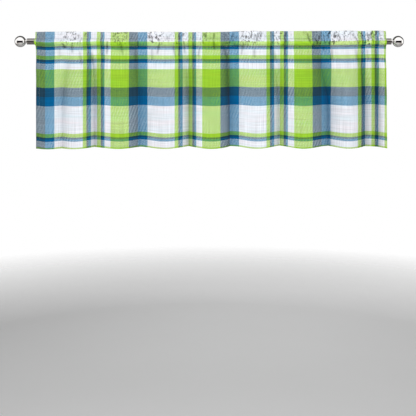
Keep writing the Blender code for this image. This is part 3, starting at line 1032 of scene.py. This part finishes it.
def stitchTree(material):
    sockets = [(label, "NodeSocketFloat") for label in ("Spacing", "Length", "Thickness", "Unevenness")]
    tree, given, identifiers = treeWith("rowOfStitches", sockets + [("Seed", "NodeSocketInt")])
    curve = wired(tree, "GeometryNodeMeshToCurve", {0: given["Geometry"]}).outputs[0]
    spacing = {"Curve": curve, "Length": given["Spacing"]}
    spots = wired(tree, "GeometryNodeCurveToPoints", spacing, mode="LENGTH").outputs
    one = wired(tree, "GeometryNodeMeshUVSphere", {"Segments": 5, "Rings": 4, "Radius": 0.5})
    sides = {"X": given["Thickness"], "Y": given["Thickness"], "Z": given["Length"]}
    slim = wired(tree, "ShaderNodeCombineXYZ", sides).outputs[0]
    along = {"Vector": spots["Tangent"]}
    aligned = wired(tree, "FunctionNodeAlignRotationToVector", along, axis="Z").outputs[0]
    least = calculate(tree, "SUBTRACT", 1.0, given["Unevenness"])
    between = {2: least, 3: 1.0, "Seed": given["Seed"]}
    varied = wired(tree, "FunctionNodeRandomValue", between, data_type="FLOAT").outputs[1]
    scaled = wired(tree, "ShaderNodeVectorMath", {0: slim, "Scale": varied}, operation="SCALE").outputs[0]
    stitches = {"Points": spots["Points"], "Instance": one.outputs["Mesh"],
                "Rotation": aligned, "Scale": scaled}
    finishTree(tree, wired(tree, "GeometryNodeInstanceOnPoints", stitches).outputs[0], material)
    return tree, identifiers


# The points of one seam, just proud of the cloth
def seamLine(row, outwardY):
    line = row.copy()
    line[1] += outwardY * (stitch["lift"] + (valance["thickness"] if outwardY > 0 else 0))
    return line.T


def seamLines():
    inset = stitch["fromEdge"]
    x = np.linspace(valance["leftEdge"] + inset, valance["rightEdge"] - inset, valance["columns"] * 2)
    hemLine = valance["hemBottom"] + valance["hemHeight"] - stitch["hemInset"]
    seams = (valance["headingSeam"], valance["pocketSeam"], hemLine)
    lines = [seamLine(frontRow(x, z), -1) for z in seams]
    for z in seams:
        line = backRow(x, z)
        line[1] += stitch["lift"]
        lines.append(line.T)
    # Down both sides, where the narrow side hems are sewn, before and behind
    levels = np.linspace(valance["tailEnd"] - 0.004, hemLine - 0.003, 90)
    for place in (valance["leftEdge"] + valance["sideHem"], valance["rightEdge"] - valance["sideHem"]):
        side = np.concatenate([frontRow(np.array([place]), z) for z in levels], axis=1)
        lines += [seamLine(side, -1), seamLine(side, 1)]
    return lines


def makeStitches():
    points, edges = [], []
    for line in seamLines():
        first = len(points)
        points += line.tolist()
        edges += [(first + step, first + step + 1) for step in range(len(line) - 1)]
    mesh = bpy.data.meshes.new("seamStitches")
    mesh.from_pydata(points, edges, [])
    piece = realised(addPiece("seamStitches", mesh), *stitchTree(thread), stitch)
    piece.data.shade_smooth()
    return piece


seamStitches = makeStitches()
print("stitches made,", len(seamStitches.data.polygons), "faces")


# Floor, surround and lights

studio = {
    "floorHeight": -1.52,
    "floorRadius": 3.6,
    "floorFade": 1.8,
    "surround": 1.0,
    "softLight": 0.07,
    "keyPower": 170,
    "topPower": 5,
    "backPower": 30,
}


def makeFloor():
    material, tree, shader = newMaterial("paleFloor")
    place = addNode(tree, "ShaderNodeTexCoord").outputs["Object"]
    colour = colourRamp(tree, noiseAt(tree, place, 3.0, 3), ((0.0, (0.95,) * 3), (1.0, (0.98,) * 3)))
    tree.links.new(colour, shader.inputs["Base Color"])
    shader.inputs["Roughness"].default_value = 0.9
    # The floor fades out into the pale surround
    reach = wired(tree, "ShaderNodeVectorMath", {0: place}, operation="LENGTH").outputs["Value"]
    fade = studio["floorFade"]
    share = calculate(tree, "MULTIPLY_ADD", reach, -1 / fade, studio["floorRadius"] / fade, clamp=True)
    tree.links.new(share, shader.inputs["Alpha"])
    shape = bmesh.new()
    bmesh.ops.create_circle(shape, cap_ends=True, segments=96, radius=studio["floorRadius"])
    mesh = bpy.data.meshes.new("floor")
    shape.to_mesh(mesh)
    shape.free()
    floor = addPiece("floor", mesh, (material,))
    floor.location.z = studio["floorHeight"]


def makeLight(name, place, aim, size, power):
    data = bpy.data.lights.new(name, "AREA")
    data.shape = "RECTANGLE"
    data.size, data.size_y = size
    data.energy = power
    lamp = bpy.data.objects.new(name, data)
    lamp.location = place
    lamp.rotation_euler = (Vector(aim) - Vector(place)).to_track_quat("-Z", "Y").to_euler()
    lamp.visible_glossy = False
    bpy.context.scene.collection.objects.link(lamp)


# A white surround; polished metal sees a studio with a dark room in front and above at the back
def makeWorld():
    world = bpy.data.worlds.new("studio")
    world.use_nodes = True
    tree = world.node_tree
    tree.nodes.clear()
    place = addNode(tree, "ShaderNodeTexCoord").outputs["Generated"]
    direction = wired(tree, "ShaderNodeSeparateXYZ", {0: place}).outputs
    height = calculate(tree, "MULTIPLY_ADD", direction["Z"], 0.5, 0.5)
    white, warm, dark = (1.6, 1.6, 1.6), (0.82, 0.74, 0.71), (0.004, 0.004, 0.004)
    brown, grey, dim = (0.42, 0.38, 0.36), (0.2, 0.2, 0.2), (0.10, 0.10, 0.10)
    before = colourRamp(tree, height, (
        (0.0, warm), (0.25, warm), (0.33, dark), (0.60, dark), (0.64, white), (1.0, white),
    ))
    behind = colourRamp(tree, height, ((0.0, brown), (0.45, grey), (0.60, dim), (1.0, dim)))
    back = calculate(tree, "MULTIPLY_ADD", direction["Y"], 4.0, 0.2, clamp=True)
    sideways = calculate(tree, "ABSOLUTE", direction["X"])
    sideways = calculate(tree, "MULTIPLY_ADD", sideways, 12.0, -10.2, clamp=True)
    seen = mixed(tree, sideways, mixed(tree, back, before, behind), (*white, 1))
    plain = (1, 1, 1, 1)
    shown, glossy, shownToCamera = [
        wired(tree, "ShaderNodeBackground", {"Color": colour, "Strength": strength}).outputs[0]
        for colour, strength in ((plain, studio["softLight"]), (seen, 1.0), (plain, studio["surround"]))
    ]
    rays = addNode(tree, "ShaderNodeLightPath").outputs
    for kind, sky in (("Is Glossy Ray", glossy), ("Is Camera Ray", shownToCamera)):
        shown = wired(tree, "ShaderNodeMixShader", {0: rays[kind], 1: shown, 2: sky}).outputs[0]
    wired(tree, "ShaderNodeOutputWorld", {"Surface": shown})
    bpy.context.scene.world = world


def makeStudio():
    makeFloor()
    makeLight("key", (-0.1, -4.3, 1.1), (0, 0, -0.2), (1.2, 1.2), studio["keyPower"])
    makeLight("top", (0, -0.6, 2.0), (0, 0, 0), (2.4, 1.0), studio["topPower"])
    makeLight("behind", (0.6, 2.6, 0.8), (0, 0, -0.2), (2.0, 1.6), studio["backPower"])
    makeWorld()
    bpy.context.scene.view_settings.view_transform = "Standard"


makeStudio()
print("studio made")


# What rides and what stands for what

for piece, node, finish in (
    (plaidValance, "valance_cloth", "plaid_cloth"),
    (curtainRod, "rod", "polished_nickel"),
    (finialLeft, "finial_left", "polished_nickel"),
    (finialRight, "finial_right", "polished_nickel"),
):
    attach(piece, "root")
    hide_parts(node)
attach(seamStitches, "root")
